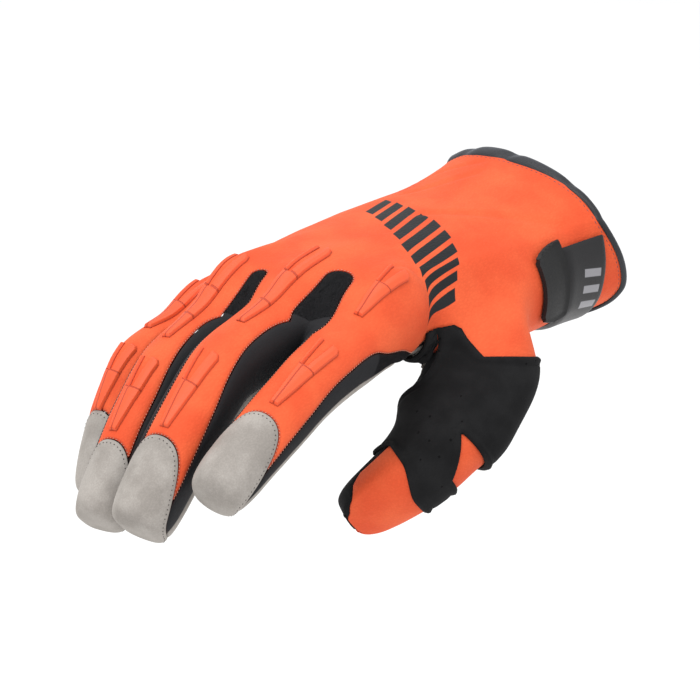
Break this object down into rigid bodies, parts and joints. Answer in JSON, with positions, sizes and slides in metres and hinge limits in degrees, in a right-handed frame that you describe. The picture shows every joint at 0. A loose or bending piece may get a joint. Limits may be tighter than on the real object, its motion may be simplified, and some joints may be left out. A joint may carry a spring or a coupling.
{
  "type": "motocross glove",
  "caption": "Right-hand off-road riding glove in its worn shape, with raised knuckle wedges, suede fingertips and a wrist strap.",
  "frame": {"origin": "middle of the cuff opening", "axes": "+X out of the cuff opening, fingers towards -X, thumb towards -Y, back of the hand +Z"},
  "size_m": [0.2452, 0.1221, 0.0998],
  "materials": {
    "orange_cloth": "woven stretch cloth, bright orange",
    "grey_suede": "microsuede, warm grey",
    "black_stretch": "ribbed stretch cloth, black",
    "black_suede": "microsuede, black",
    "black_elastic": "gathered elastic, black",
    "strap_web": "hook-and-loop strap, black",
    "tab_rubber": "moulded tab, matt black",
    "pad_rubber": "moulded rubber, orange, satin"
  },
  "bodies": {
    "root": {"back_panel": "orange_cloth", "palm_panel": "grey_suede", "cuff_lobe": "orange_cloth", "side_index": "black_stretch", "side_little": "black_stretch", "fourchette_index_middle": "black_stretch", "fourchette_middle_ring": "black_stretch", "fourchette_ring_little": "black_stretch", "tip_index": "grey_suede", "tip_middle": "grey_suede", "tip_ring": "grey_suede", "tip_little": "grey_suede", "thumb_back": "orange_cloth", "thumb_palm": "black_suede", "thumb_saddle": "black_suede", "cuff_binding": "black_elastic", "closure_strap": "strap_web", "strap_tab": "tab_rubber", "knuckle_pad_index": "pad_rubber", "knuckle_pad_middle": "pad_rubber", "knuckle_pad_ring": "pad_rubber", "knuckle_pad_little": "pad_rubber", "finger_pad_index": "pad_rubber", "finger_pad_middle": "pad_rubber", "finger_pad_ring": "pad_rubber", "finger_pad_little": "pad_rubber"}
  },
  "joints": []
}
